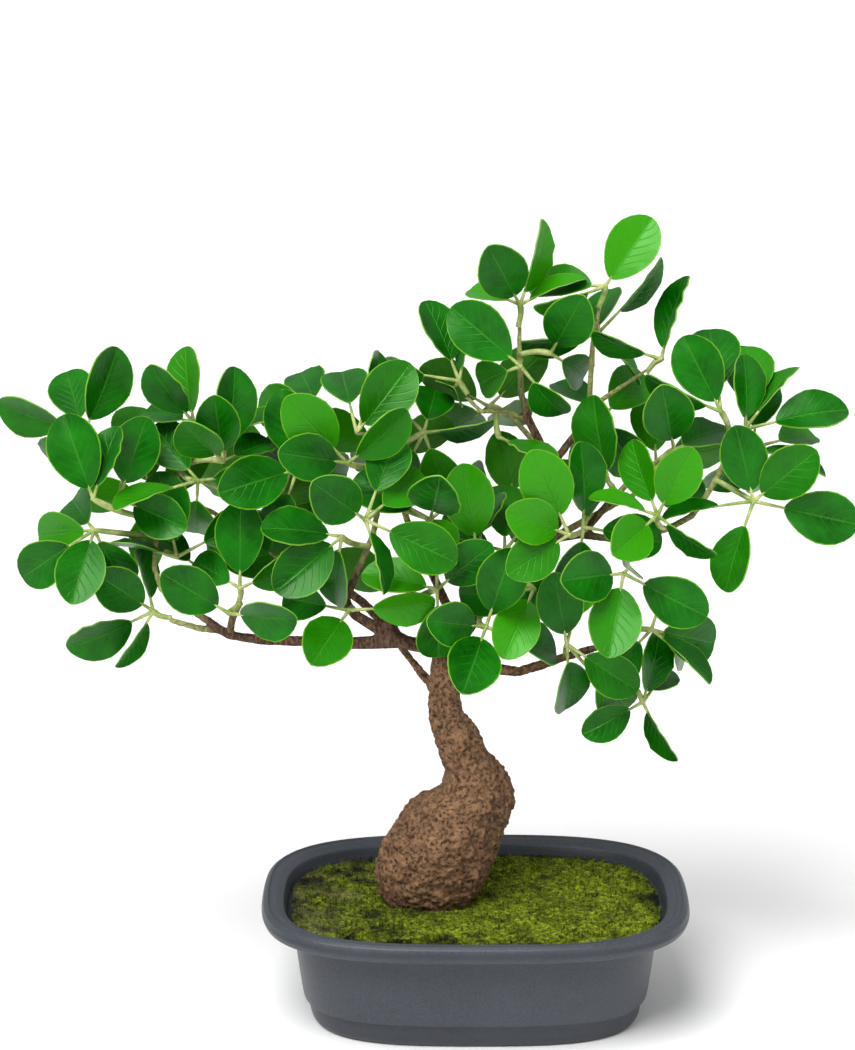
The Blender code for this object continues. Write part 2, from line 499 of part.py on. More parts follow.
def build_sprays(parts, guides, parent, wood):
    """Every spray of leaves, each one piece: knob, twig, stalks and blades."""
    space = Space()
    for solid in wood:
        space.add(solid, "wood")
    rng = random.Random(7)
    green = {}
    for tone, color in (("light", (0.16, 0.33, 0.05)), ("deep", (0.05, 0.17, 0.04))):
        green[tone] = material("leaf_" + tone, color, 0.5)
    twigs, knobs = {}, {}
    for name, (place, _, _) in SPRAYS.items():
        route = settle_twig(place, space)
        knobs[name] = route[-1]
        twig = tube_mesh([[(point, TWIG_RADIUS) for point in route]], 0)
        bmesh.ops.create_uvsphere(twig, u_segments=6, v_segments=4, radius=KNOB_RADIUS,
                                  matrix=Matrix.Translation(route[-1]))
        twigs[name] = solid_of(twig)
        space.add(twigs[name], name)
    for number, (name, (_, facing, leaves)) in enumerate(SPRAYS.items()):
        solids, place = [], knobs[name]
        for leaf in leaves:
            found = settle_leaf(name, place, facing, leaf, space, rng)
            if found is None:
                print("no room for a leaf of", name, "at bearing", leaf[0])
                continue
            solids.append(found)
            space.add(found, name)
        spray = make_object("spray_" + name, solids, place, parts, parent)
        spray.data.materials.append(green["deep" if number % 3 else "light"])
        twig = make_object("guide_twig_" + name, [twigs[name]], place, guides, parent)
        cut_or_join(spray, twig, "UNION")


def main():
    for old in list(bpy.data.objects):
        bpy.data.objects.remove(old, do_unlink=True)
    parts = bpy.data.collections.new("potted_tree")
    guides = bpy.data.collections.new("guides")
    bpy.context.scene.collection.children.link(parts)
    bpy.context.scene.collection.children.link(guides)
    root = bpy.data.objects.new("potted_tree_root", None)
    parts.objects.link(root)
    build_pot(parts, guides, root)
    build_ground(parts, guides, root)
    wood = build_wood(parts, guides, root)
    build_sprays(parts, guides, root, wood)


main()
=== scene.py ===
import json
import math
import random

import bmesh
import bpy
from mathutils import Matrix, Vector
from mathutils.bvhtree import BVHTree
from mathutils.kdtree import KDTree


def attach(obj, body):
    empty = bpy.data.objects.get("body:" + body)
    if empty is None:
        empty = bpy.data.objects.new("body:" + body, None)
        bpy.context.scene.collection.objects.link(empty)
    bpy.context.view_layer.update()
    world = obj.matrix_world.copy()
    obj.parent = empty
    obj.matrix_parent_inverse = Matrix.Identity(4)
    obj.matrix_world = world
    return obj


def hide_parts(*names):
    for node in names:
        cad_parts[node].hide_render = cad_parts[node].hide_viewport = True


mm = 0.001
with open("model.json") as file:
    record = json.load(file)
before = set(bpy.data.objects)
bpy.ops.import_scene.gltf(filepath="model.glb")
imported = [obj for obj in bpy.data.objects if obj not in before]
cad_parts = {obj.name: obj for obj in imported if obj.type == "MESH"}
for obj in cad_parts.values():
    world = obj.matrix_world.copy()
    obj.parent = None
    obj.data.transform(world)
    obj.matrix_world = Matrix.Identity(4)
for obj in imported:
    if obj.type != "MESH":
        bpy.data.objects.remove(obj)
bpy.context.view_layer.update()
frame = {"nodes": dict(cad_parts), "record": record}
print("frame loaded")


def deselectAll():
    if bpy.context.object and bpy.context.object.mode != "OBJECT":
        bpy.ops.object.mode_set(mode="OBJECT")
    bpy.ops.object.select_all(action="DESELECT")


def pick(*pieces):
    deselectAll()
    for piece in pieces:
        piece.select_set(True)
    bpy.context.view_layer.objects.active = pieces[0]


def applyModifier(piece, kind, **settings):
    pick(piece)
    modifier = piece.modifiers.new(kind.title(), kind)
    for key, value in settings.items():
        setattr(modifier, key, value)
    bpy.ops.object.modifier_apply(modifier=modifier.name)


def copyOfNode(nodeName, pieceName):
    # a CAD node is loose triangles, so its copy is merged before any work
    source = frame["nodes"][nodeName]
    piece = bpy.data.objects.new(pieceName, source.data.copy())
    bpy.context.scene.collection.objects.link(piece)
    piece.data.materials.clear()
    pick(piece)
    bpy.ops.object.mode_set(mode="EDIT")
    bpy.ops.mesh.select_all(action="SELECT")
    bpy.ops.mesh.remove_doubles(threshold=0.00001)
    bpy.ops.object.mode_set(mode="OBJECT")
    return piece


slotOf = {row["node"]: row["material_slot"] for row in frame["record"]["subparts"]}


def setPiece(piece, nodeName):
    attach(piece, "root")
    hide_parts(nodeName)


def addSocket(tree, name, direction, kind, value=None):
    socket = tree.interface.new_socket(name=name, in_out=direction, socket_type=kind)
    if value is not None:
        socket.default_value = value
    return socket


def makeSpeckleGroup():
    # two colours mixed by soft noise, and the mask that mixes them
    tree = bpy.data.node_groups.new("speckle", "ShaderNodeTree")
    addSocket(tree, "Dark", "INPUT", "NodeSocketColor", (0, 0, 0, 1))
    addSocket(tree, "Light", "INPUT", "NodeSocketColor", (1, 1, 1, 1))
    addSocket(tree, "Scale", "INPUT", "NodeSocketFloat", 100.0)
    addSocket(tree, "Low", "INPUT", "NodeSocketFloat", 0.4)
    addSocket(tree, "High", "INPUT", "NodeSocketFloat", 0.6)
    addSocket(tree, "Color", "OUTPUT", "NodeSocketColor")
    addSocket(tree, "Mask", "OUTPUT", "NodeSocketFloat")
    nodes, links = tree.nodes, tree.links
    enter, leave = nodes.new("NodeGroupInput"), nodes.new("NodeGroupOutput")
    place = nodes.new("ShaderNodeTexCoord")
    noise = nodes.new("ShaderNodeTexNoise")
    noise.inputs["Detail"].default_value = 5.0
    noise.inputs["Roughness"].default_value = 0.62
    span = nodes.new("ShaderNodeMapRange")
    mix = nodes.new("ShaderNodeMix")
    mix.data_type = "RGBA"
    links.new(place.outputs["Object"], noise.inputs["Vector"])
    links.new(enter.outputs["Scale"], noise.inputs["Scale"])
    links.new(noise.outputs["Fac"], span.inputs["Value"])
    links.new(enter.outputs["Low"], span.inputs["From Min"])
    links.new(enter.outputs["High"], span.inputs["From Max"])
    links.new(span.outputs["Result"], mix.inputs["Factor"])
    links.new(enter.outputs["Dark"], mix.inputs["A"])
    links.new(enter.outputs["Light"], mix.inputs["B"])
    links.new(mix.outputs["Result"], leave.inputs["Color"])
    links.new(span.outputs["Result"], leave.inputs["Mask"])
    return tree


speckle = makeSpeckleGroup()


class Surface:
    # one material with short ways to add the nodes it needs
    def __init__(self, name, **sockets):
        self.material = bpy.data.materials.new(name)
        self.material.use_nodes = True
        self.nodes = self.material.node_tree.nodes
        self.links = self.material.node_tree.links
        self.shader = self.nodes["Principled BSDF"]
        for key, value in sockets.items():
            self.shader.inputs[key.replace("_", " ")].default_value = value

    def add(self, kind, **sockets):
        node = self.nodes.new(kind)
        for key, value in sockets.items():
            node.inputs[key.replace("_", " ")].default_value = value
        return node

    def speckle(self, dark, light, scale, low=0.4, high=0.6):
        node = self.nodes.new("ShaderNodeGroup")
        node.node_tree = speckle
        node.inputs["Dark"].default_value = (*dark, 1)
        node.inputs["Light"].default_value = (*light, 1)
        for key, value in (("Scale", scale), ("Low", low), ("High", high)):
            node.inputs[key].default_value = value
        return node

    def math(self, operation, first, second=None, clamp=False):
        node = self.nodes.new("ShaderNodeMath")
        node.operation = operation
        node.use_clamp = clamp
        for slot, value in zip(node.inputs, (first, second)):
            if isinstance(value, (int, float)):
                slot.default_value = value
            elif value is not None:
                self.links.new(value, slot)
        return node.outputs[0]

    def ramp(self, value, fromLow, fromHigh, toLow=0.0, toHigh=1.0):
        node = self.add("ShaderNodeMapRange", From_Min=fromLow, From_Max=fromHigh,
                        To_Min=toLow, To_Max=toHigh)
        self.links.new(value, node.inputs["Value"])
        return node.outputs["Result"]

    def mix(self, factor, first, second):
        node = self.nodes.new("ShaderNodeMix")
        node.data_type = "RGBA"
        self.links.new(factor, node.inputs["Factor"])
        for key, value in (("A", first), ("B", second)):
            if isinstance(value, tuple):
                node.inputs[key].default_value = (*value, 1)
            else:
                self.links.new(value, node.inputs[key])
        return node.outputs["Result"]

    def color(self, value):
        self.links.new(value, self.shader.inputs["Base Color"])

    def roughness(self, value):
        self.links.new(value, self.shader.inputs["Roughness"])

    def bump(self, height, distance, strength=1.0):
        node = self.add("ShaderNodeBump", Distance=distance, Strength=strength)
        self.links.new(height, node.inputs["Height"])
        self.links.new(node.outputs["Normal"], self.shader.inputs["Normal"])


leafPlan = {
    "across": 8, "along": 12,              # faces of the blank across and along
    "ratio": 0.7,                          # width for a length of one
    "arch": 0.14, "fold": 0.17,            # droop to the tip, as on the CAD blade, and rise to the edges
    "thickness": 0.019,                    # for a length of one
    "cadSteps": (0.15, 0.48, 0.8, 1.0),    # where the CAD blade has its sections
    "cadThickness": 1.1 * mm,
    # ripple, twist and number of waves of each blank
    "shapes": ((0.010, 0.0, 2.2), (0.016, 0.05, 3.1), (0.012, -0.05, 2.6), (0.02, 0.02, 4.0)),
    "dark": (0.0, 0.06, 0.0), "light": (0.004, 0.17, 0.0),
    "bright": (0.03, 0.27, 0.0), "margin": (0.16, 0.42, 0.005), "under": (0.06, 0.22, 0.02),
    "underDark": (0.02, 0.12, 0.008), "vein": (0.06, 0.3, 0.02), "veins": 7.0,
}


def leafWidthShare(step):
    # narrow base, widest past the middle, broad round tip
    return max(0.0, math.sin(math.pi * step ** 1.22)) ** 0.5


def rowStep(row):
    # rows lie closer together towards both ends, so the ends come out round
    return 0.5 - 0.5 * math.cos(math.pi * (row + 0.5))


def makeLeafBlank(number, wave, twist, waves):
    plan = leafPlan
    deselectAll()
    bpy.ops.mesh.primitive_grid_add(x_subdivisions=plan["across"], y_subdivisions=plan["along"],
                                    size=1, location=(0, 0, 0))
    blank = bpy.context.object
    blank.name = "leafBlank%d" % number
    bpy.ops.object.mode_set(mode="EDIT")
    edit = bmesh.from_edit_mesh(blank.data)
    for row in sorted({round(vertex.co.y, 5) for vertex in edit.verts}):
        share = plan["ratio"] * max(0.03, leafWidthShare(rowStep(row)))
        for vertex in edit.verts:
            vertex.select_set(abs(vertex.co.y - row) < 0.0001)
        edit.select_flush(True)
        bmesh.update_edit_mesh(blank.data)
        bpy.ops.transform.resize(value=(share, 1, 1), center_override=(0, row, 0))
    edit = bmesh.from_edit_mesh(blank.data)
    leafMap = edit.loops.layers.uv.verify()
    for face in edit.faces:
        for corner in face.loops:
            corner[leafMap].uv.y = rowStep(corner.vert.co.y)
    for vertex in edit.verts:
        step, across = rowStep(vertex.co.y), vertex.co.x
        edge = abs(across) / (plan["ratio"] / 2)
        rise = plan["ratio"] * plan["fold"] * (math.sqrt(edge * edge + 0.01) - 0.1)
        ripple = wave * edge * edge * math.sin(waves * math.tau * step + (1.7 if across > 0 else 0.2))
        groove = -0.006 * math.exp(-(across / 0.02) ** 2) * math.sin(math.pi * min(1, step + 0.15))
        vertex.co = (across, step, rise + ripple + groove + twist * across * step
                     - plan["arch"] * step * step)
    bmesh.update_edit_mesh(blank.data)
    bpy.ops.object.mode_set(mode="OBJECT")
    for slot in (leafTop, leafUnder, leafRim):
        blank.data.materials.append(slot)
    applyModifier(blank, "SOLIDIFY", thickness=plan["thickness"], offset=0.0,
                  material_offset=1, material_offset_rim=2)
    pick(blank)
    bpy.ops.object.shade_smooth_by_angle(angle=math.radians(50))
    return blank


def leafSurface(name, dark, light, sheen):
    # veins run out from the midrib on the leaf's own map
    plan = leafPlan
    look = Surface(name, Specular_IOR_Level=sheen, Specular_Tint=(0.6, 1.0, 0.5, 1.0))
    uv = look.nodes.new("ShaderNodeUVMap")
    uv.uv_map = "UVMap"
    split = look.nodes.new("ShaderNodeSeparateXYZ")
    look.links.new(uv.outputs["UV"], split.inputs["Vector"])
    across = look.math("ABSOLUTE", look.math("SUBTRACT", split.outputs["X"], 0.5))
    along = split.outputs["Y"]
    tone = look.nodes.new("ShaderNodeAttribute")
    tone.attribute_name = "tone"
    body = look.speckle(dark, light, 55.0, 0.3, 0.72)
    toned = look.mix(look.ramp(tone.outputs["Fac"], 0.45, 1.0), body.outputs["Color"], plan["bright"])
    # side veins lean towards the tip
    rise = look.math("SUBTRACT", along, look.math("MULTIPLY", across, 0.75))
    comb = look.math("SINE", look.math("MULTIPLY", rise, math.tau * plan["veins"]))
    vein = look.math("MULTIPLY", look.ramp(comb, 0.8, 1.0), look.ramp(across, 0.5, 0.06), True)
    midrib = look.ramp(across, 0.028, 0.008)
    lines = look.math("MAXIMUM", look.math("MULTIPLY", vein, 0.14), look.math("MULTIPLY", midrib, 0.4))
    veined = look.mix(lines, toned, plan["vein"])
    nearSide = look.ramp(across, 0.478, 0.494)
    nearEnd = look.math("MAXIMUM", look.ramp(along, 0.987, 0.997), look.ramp(along, 0.02, 0.004))
    margin = look.math("MULTIPLY", look.math("MAXIMUM", nearSide, nearEnd), 0.85)
    look.color(look.mix(margin, veined, plan["margin"]))
    look.roughness(look.ramp(body.outputs["Mask"], 0.0, 1.0, 0.26, 0.42))
    height = look.math("SUBTRACT", look.math("MULTIPLY", body.outputs["Mask"], 0.25),
                       look.math("ADD", look.math("MULTIPLY", vein, 0.5), midrib))
    look.bump(height, 0.0004, 0.6)
    return look.material


def plainLeafPart(name, dark, light, roughness):
    look = Surface(name, Roughness=roughness)
    body = look.speckle(dark, light, 140.0)
    look.color(body.outputs["Color"])
    look.bump(body.outputs["Mask"], 0.0002, 0.5)
    return look.material


leafTop = leafSurface("leafTop", leafPlan["dark"], leafPlan["light"], 0.36)
leafUnder = leafSurface("leafUnder", leafPlan["underDark"], leafPlan["under"], 0.15)
leafRim = plainLeafPart("leafRim", (0.16, 0.36, 0.04), leafPlan["margin"], 0.5)
leafStalk = plainLeafPart("leafStalk", (0.2, 0.3, 0.05), (0.5, 0.55, 0.2), 0.55)
leafBlanks = [makeLeafBlank(number, *shape) for number, shape in enumerate(leafPlan["shapes"])]
print("leaf blanks shaped")


def nodePoints(nodeName):
    points, seen = [], set()
    for vertex in frame["nodes"][nodeName].data.vertices:
        key = tuple(round(value / 0.000005) for value in vertex.co)
        if key not in seen:
            seen.add(key)
            points.append(vertex.co.copy())
    return points


def pairsApart(points, tree, distance, slack):
    found = []
    for number, point in enumerate(points):
        for other, index, apart in tree.find_range(point, distance + slack):
            if index > number and abs(apart - distance) < slack:
                found.append((point, other.copy()))
    return found


def readLeaves(points, tree):
    # each CAD blade has four pairs of points across its midrib, all along one normal
    plan = leafPlan
    ribs = [((a + b) / 2, (a - b).normalized())
            for a, b in pairsApart(points, tree, plan["cadThickness"], 0.006 * mm)]
    leaves, used = [], set()
    first, last = plan["cadSteps"][0], plan["cadSteps"][-1]
    for start, (centre, normal) in enumerate(ribs):
        if start in used:
            continue
        row = [start] + [k for k, (c, n) in enumerate(ribs) if k != start and k not in used
                         and abs(n.dot(normal)) > 0.99995 and (c - centre).length < 32 * mm]
        if len(row) < 4:
            continue
        spots = [ribs[k][0] for k in row]
        ends = max(((a, b) for a in spots for b in spots), key=lambda pair: (pair[0] - pair[1]).length)
        spots.sort(key=lambda spot: (spot - ends[0]).length)
        if len(spots) > 4:
            continue
        if (spots[1] - spots[0]).length < (spots[3] - spots[2]).length:
            spots.reverse()
        used.update(row)
        reach = spots[3] - spots[0]
        if reach.dot(normal) > 0:
            normal = -normal
        flat = reach - normal * reach.dot(normal)
        length = flat.length / (last - first)
        along = flat.normalized()
        base = spots[0] - along * length * first + normal * length * plan["arch"] * first * first
        side = along.cross(normal)
        half = [abs((p - spots[1]).dot(side)) for p, _, _ in tree.find_range(spots[1], 14 * mm)
                if abs((p - spots[1]).dot(along)) < 0.05 * mm and abs((p - spots[1]).dot(side)) > 5 * mm]
        width = 2 * min(half) if half else length * plan["ratio"]
        leaves.append({"base": base, "along": along, "side": side, "normal": normal,
                       "length": length, "width": min(width, length * 0.75)})
    return leaves


def readKnob(points, tree):
    # points facing each other across the round knob share its centre
    middles = [(a + b) / 2 for a, b in pairsApart(points, tree, 4 * mm, 0.008 * mm)]
    best = max(middles, key=lambda m: sum((m - other).length < 0.03 * mm for other in middles))
    close = [m for m in middles if (m - best).length < 0.03 * mm]
    return sum(close, Vector()) / len(close)


def readTwig(points, knob, leaves):
    # what is left is the twig: its start and its bend
    loose = []
    for point in points:
        if (point - knob).length < 2.6 * mm:
            continue
        owned = False
        for leaf in leaves:
            away = point - leaf["base"]
            step = away.dot(leaf["along"]) / leaf["length"]
            if away.length < 1.4 * mm or (-0.05 < step < 1.05
                                          and abs(away.dot(leaf["side"])) < leaf["width"] * 0.56
                                          and abs(away.dot(leaf["normal"])) < leaf["length"] * 0.2):
                owned = True
        if not owned:
            loose.append(point)
    clusters = []
    for point in loose:
        for cluster in clusters:
            if (point - cluster[0]).length < 3.0 * mm:
                cluster.append(point)
                break
        else:
            clusters.append([point])
    centres = [sum(cluster, Vector()) / len(cluster) for cluster in clusters if len(cluster) >= 3]
    centres.sort(key=lambda centre: -(centre - knob).length)
    return centres[:2]


stalkPlan = {"twigRadius": 1.25 * mm, "knobRadius": 1.75 * mm, "stalkRadius": 0.72 * mm,
             "intoBranch": 3.2 * mm, "intoBlade": 0.12, "pastKnob": 1.2 * mm,
             "depth": 1.0 * mm}


def makeStems(name, routes):
    curve = bpy.data.curves.new(name, "CURVE")
    curve.dimensions = "3D"
    curve.bevel_depth = stalkPlan["depth"]
    curve.bevel_resolution = 2
    curve.use_fill_caps = True
    curve.resolution_u = curve.render_resolution_u = 4
    for route in routes:
        spline = curve.splines.new("NURBS")
        spline.points.add(len(route) - 1)
        spline.order_u = min(4, len(route))
        spline.use_endpoint_u = True
        for spot, (point, radius) in zip(spline.points, route):
            spot.co = (*point, 1.0)
            spot.radius = radius / stalkPlan["depth"]
    holder = bpy.data.objects.new(name, curve)
    bpy.context.scene.collection.objects.link(holder)
    pick(holder)
    bpy.ops.object.convert(target="MESH")
    holder = bpy.context.object
    bpy.ops.object.mode_set(mode="EDIT")
    bpy.ops.mesh.select_all(action="SELECT")
    bpy.ops.mesh.remove_doubles(threshold=0.00001)
    bpy.ops.mesh.normals_make_consistent(inside=False)
    bpy.ops.object.mode_set(mode="OBJECT")
    bpy.ops.object.shade_smooth()
    holder.data.materials.clear()
    for slot in (leafTop, leafUnder, leafRim, leafStalk):
        holder.data.materials.append(slot)
    for face in holder.data.polygons:
        face.material_index = 3
    return holder


def setTone(mesh, tone):
    layer = mesh.attributes.new("tone", "FLOAT", "FACE")
    layer.data.foreach_set("value", [tone] * len(mesh.polygons))


def makeSpray(nodeName, rng):
    points = nodePoints(nodeName)
    tree = KDTree(len(points))
    for number, point in enumerate(points):
        tree.insert(point, number)
    tree.balance()
    leaves = readLeaves(points, tree)
    knob = readKnob(points, tree)
    twig = readTwig(points, knob, leaves)
    plan = stalkPlan
    routes = []
    if twig:
        following = twig[1] if len(twig) > 1 else knob
        into = twig[0] + (twig[0] - following).normalized() * plan["intoBranch"]
        past = knob + (knob - twig[-1]).normalized() * plan["pastKnob"]
        routes.append([(into, plan["twigRadius"])] + [(spot, plan["twigRadius"]) for spot in twig]
                      + [(knob, plan["knobRadius"]), (past, plan["stalkRadius"])])
    for leaf in leaves:
        inside = leaf["base"] + leaf["along"] * leaf["length"] * plan["intoBlade"] \
            - leaf["normal"] * (leaf["length"] * 0.013 + 0.25 * mm)
        routes.append([(knob, plan["stalkRadius"] * 1.3), (leaf["base"], plan["stalkRadius"]),
                       (inside, plan["stalkRadius"] * 0.45)])
    stems = makeStems(nodeName + "_stems", routes)
    setTone(stems.data, 0.0)
    pieces = []
    sprayTone = rng.uniform(-0.3, 0.0)
    if slotOf[nodeName] == "leaf_light":
        sprayTone += 0.35
    for leaf in leaves:
        blank = rng.choice(leafBlanks)
        copy = bpy.data.objects.new("leaf", blank.data.copy())
        bpy.context.scene.collection.objects.link(copy)
        stretch = leaf["length"]
        turn = Matrix((leaf["side"], leaf["along"], leaf["normal"])).transposed().to_4x4()
        wide = leaf["width"] / leafPlan["ratio"] / stretch
        copy.data.transform(Matrix.Translation(leaf["base"]) @ turn
                            @ Matrix.Diagonal((stretch * wide, stretch, stretch, 1)))
        setTone(copy.data, min(1.0, max(0.0, rng.random() ** 1.6 + sprayTone)))
        pieces.append(copy)
    pick(stems, *pieces)
    bpy.ops.object.join()
    stems.name = nodeName.replace("spray_", "leaves_")
    setPiece(stems, nodeName)
    return len(leaves)


rng = random.Random(11)
leafCount = sum(makeSpray(name, rng) for name in sorted(frame["nodes"]) if name.startswith("spray_"))
for blank in leafBlanks:
    bpy.data.objects.remove(blank, do_unlink=True)
print("leaves placed:", leafCount)


barkPlan = {"voxel": 0.9 * mm,
            "top": 176 * mm, "fade": 30 * mm, "least": 0.12,    # relief fades out below the top
            "lump": 3.2 * mm, "lumpSize": 13 * mm, "pit": 3.0 * mm, "pitSize": 2.6 * mm,
            "corkEnd": (0.168, 0.178),                          # heights where cork gives way to bark
            "shootGirth": (0.0017, 0.0013),                     # radii from bark to green shoot
            "tan": (0.3, 0.165, 0.085), "brown": (0.15, 0.08, 0.043), "pitColor": (0.016, 0.008, 0.005),
            "branch": (0.075, 0.035, 0.022), "branchLight": (0.2, 0.12, 0.075),
            "shoot": (0.42, 0.45, 0.16)}


def barkSurface():
    plan = barkPlan
    look = Surface("bark", Roughness=0.85)
    look.shader.inputs["Specular IOR Level"].default_value = 0.25
    coarse = look.speckle(plan["brown"], plan["tan"], 190.0, 0.34, 0.64)
    pits = look.speckle(plan["pitColor"], plan["tan"], 560.0, 0.33, 0.5)
    holes = look.math("MULTIPLY", look.math("SUBTRACT", 1.0, pits.outputs["Mask"]), 0.8)
    cork = look.mix(holes, coarse.outputs["Color"], plan["pitColor"])
    place = look.nodes.new("ShaderNodeTexCoord")
    stretch = look.nodes.new("ShaderNodeMapping")
    stretch.inputs["Scale"].default_value = (1.0, 1.0, 0.22)
    look.links.new(place.outputs["Object"], stretch.inputs["Vector"])
    grain = look.add("ShaderNodeTexNoise", Scale=900.0, Detail=4.0)
    look.links.new(stretch.outputs["Vector"], grain.inputs["Vector"])
    split = look.nodes.new("ShaderNodeSeparateXYZ")
    look.links.new(place.outputs["Object"], split.inputs["Vector"])
    upper = look.ramp(split.outputs["Z"], *plan["corkEnd"])
    barkFine = look.mix(look.ramp(grain.outputs["Fac"], 0.38, 0.62), plan["branch"], plan["branchLight"])
    girth = look.nodes.new("ShaderNodeAttribute")
    girth.attribute_name = "girth"
    shoot = look.ramp(girth.outputs["Fac"], *plan["shootGirth"])
    limbs = look.mix(look.math("MULTIPLY", shoot, 0.8), barkFine, plan["shoot"])
    look.color(look.mix(upper, cork, limbs))
    height = look.math("ADD", look.math("MULTIPLY", pits.outputs["Mask"], 0.8), grain.outputs["Fac"])
    look.bump(height, 0.0012, 0.9)
    return look.material


def displace(piece, name, size, strength, middle, group=None):
    texture = bpy.data.textures.new(name, "CLOUDS")
    texture.noise_scale = size
    settings = {"texture": texture, "texture_coords": "LOCAL", "strength": strength, "mid_level": middle}
    if group:
        settings["vertex_group"] = group
    applyModifier(piece, "DISPLACE", **settings)


def makeWood():
    plan = barkPlan
    wood = copyOfNode("trunk_and_branches", "trunkAndBranches")
    applyModifier(wood, "REMESH", mode="VOXEL", voxel_size=plan["voxel"])
    applyModifier(wood, "SMOOTH", factor=0.6, iterations=6)
    relief = wood.vertex_groups.new(name="trunk")
    for vertex in wood.data.vertices:
        weight = min(1.0, max(plan["least"], (plan["top"] - vertex.co.z) / plan["fade"]))
        relief.add([vertex.index], weight, "REPLACE")
    displace(wood, "barkLumps", plan["lumpSize"], plan["lump"], 0.52, "trunk")
    displace(wood, "barkPits", plan["pitSize"], plan["pit"], 0.56, "trunk")
    # girth is half the way through the wood, so thin shoots can be coloured apart
    surface = BVHTree.FromPolygons([v.co for v in wood.data.vertices],
                                   [tuple(p.vertices) for p in wood.data.polygons])
    layer = wood.data.attributes.new("girth", "FLOAT", "POINT")
    for vertex in wood.data.vertices:
        hit = surface.ray_cast(vertex.co - vertex.normal * 0.1 * mm, -vertex.normal, 0.1)
        layer.data[vertex.index].value = (hit[3] or 0.05) / 2
    wood.data.materials.append(barkSurface())
    pick(wood)
    bpy.ops.object.shade_smooth()
    setPiece(wood, "trunk_and_branches")
    print("wood:", len(wood.data.polygons), "faces")


makeWood()


mossPlan = {"voxel": 1.3 * mm, "tufts": 2600, "tuftHeight": 2.2 * mm, "tuftSizes": (0.55, 1.1),
            "tuftsAbove": 48 * mm, "lump": 1.8 * mm, "lumpSize": 7 * mm, "crumb": 1.6 * mm,
            "rimShadeAlong": (0.072, 0.088), "rimShadeAcross": (0.046, 0.062),    # where the painted shade along the pot wall begins and ends
            "speck": (0.5, 0.52, 0.34),
            "dark": (0.008, 0.014, 0.005), "green": (0.12, 0.19, 0.012), "bright": (0.42, 0.5, 0.02),
            "dry": (0.2, 0.19, 0.07)}


def mossSurface():
    plan = mossPlan
    look = Surface("moss", Roughness=0.95)
    look.shader.inputs["Specular IOR Level"].default_value = 0.15
    fine = look.speckle(plan["green"], plan["bright"], 700.0, 0.38, 0.62)
    patches = look.speckle(plan["dark"], plan["green"], 90.0, 0.36, 0.56)
    crumbs = look.speckle(plan["dark"], plan["green"], 380.0, 0.38, 0.56)
    dry = look.speckle(plan["dark"], plan["dry"], 60.0, 0.42, 0.6)
    place = look.nodes.new("ShaderNodeTexCoord")
    split = look.nodes.new("ShaderNodeSeparateXYZ")
    look.links.new(place.outputs["Object"], split.inputs["Vector"])
    # darker towards the left side, and painted shade along the edge by the pot wall
    drift = look.add("ShaderNodeTexNoise", Scale=38.0, Detail=4.0)
    look.links.new(place.outputs["Object"], drift.inputs["Vector"])
    wander = look.math("MULTIPLY", look.math("SUBTRACT", drift.outputs["Fac"], 0.5), 0.12)
    east = look.math("ADD", split.outputs["X"], wander)
    rightward = look.ramp(east, -0.05, 0.01)
    # painted shade on the moss edge beside the pot wall
    offside = look.ramp(look.math("ABSOLUTE", split.outputs["X"]), *plan["rimShadeAlong"])
    offback = look.ramp(look.math("ABSOLUTE", split.outputs["Y"]), *plan["rimShadeAcross"])
    rimShade = look.math("MAXIMUM", offside, offback)
    sideToneLessRimShade = look.math("SUBTRACT", look.ramp(rightward, 0.0, 1.0, 0.55, 1.0),
                       look.math("MULTIPLY", rimShade, 0.65))
    patchy = look.math("ADD", sideToneLessRimShade, look.ramp(patches.outputs["Mask"], 0.0, 1.0, -0.6, 0.2), True)
    shade = look.math("MULTIPLY", patchy, look.ramp(crumbs.outputs["Mask"], 0.0, 1.0, 0.25, 1.0))
    green = look.mix(shade, plan["dark"], fine.outputs["Color"])
    left = look.math("MULTIPLY", look.ramp(east, -0.045, -0.075), dry.outputs["Mask"])
    dried = look.mix(look.math("MULTIPLY", left, 0.5), green, plan["dry"])
    specks = look.speckle((0, 0, 0), (1, 1, 1), 1100.0, 0.71, 0.74)
    look.color(look.mix(look.math("MULTIPLY", specks.outputs["Mask"], 0.7), dried, plan["speck"]))
    look.bump(fine.outputs["Mask"], 0.0012, 0.8)
    return look.material


def makeTuft():
    # four thin spikes lean out round an upright one
    deselectAll()
    spikes = []
    for turn in range(5):
        bpy.ops.mesh.primitive_cone_add(vertices=3, radius1=0.16, radius2=0.0, depth=1.0,
                                        location=(0, 0, 0.4))
        spike = bpy.context.object
        lean = Matrix.Rotation(math.radians(28 if turn else 4), 4, "X")
        around = Matrix.Rotation(math.tau * turn / 4, 4, "Z")
        spike.data.transform(around @ lean @ Matrix.Translation((0, 0, 0.4)))
        spike.location = (0, 0, 0)
        spikes.append(spike)
    pick(*spikes)
    bpy.ops.object.join()
    return bpy.context.object


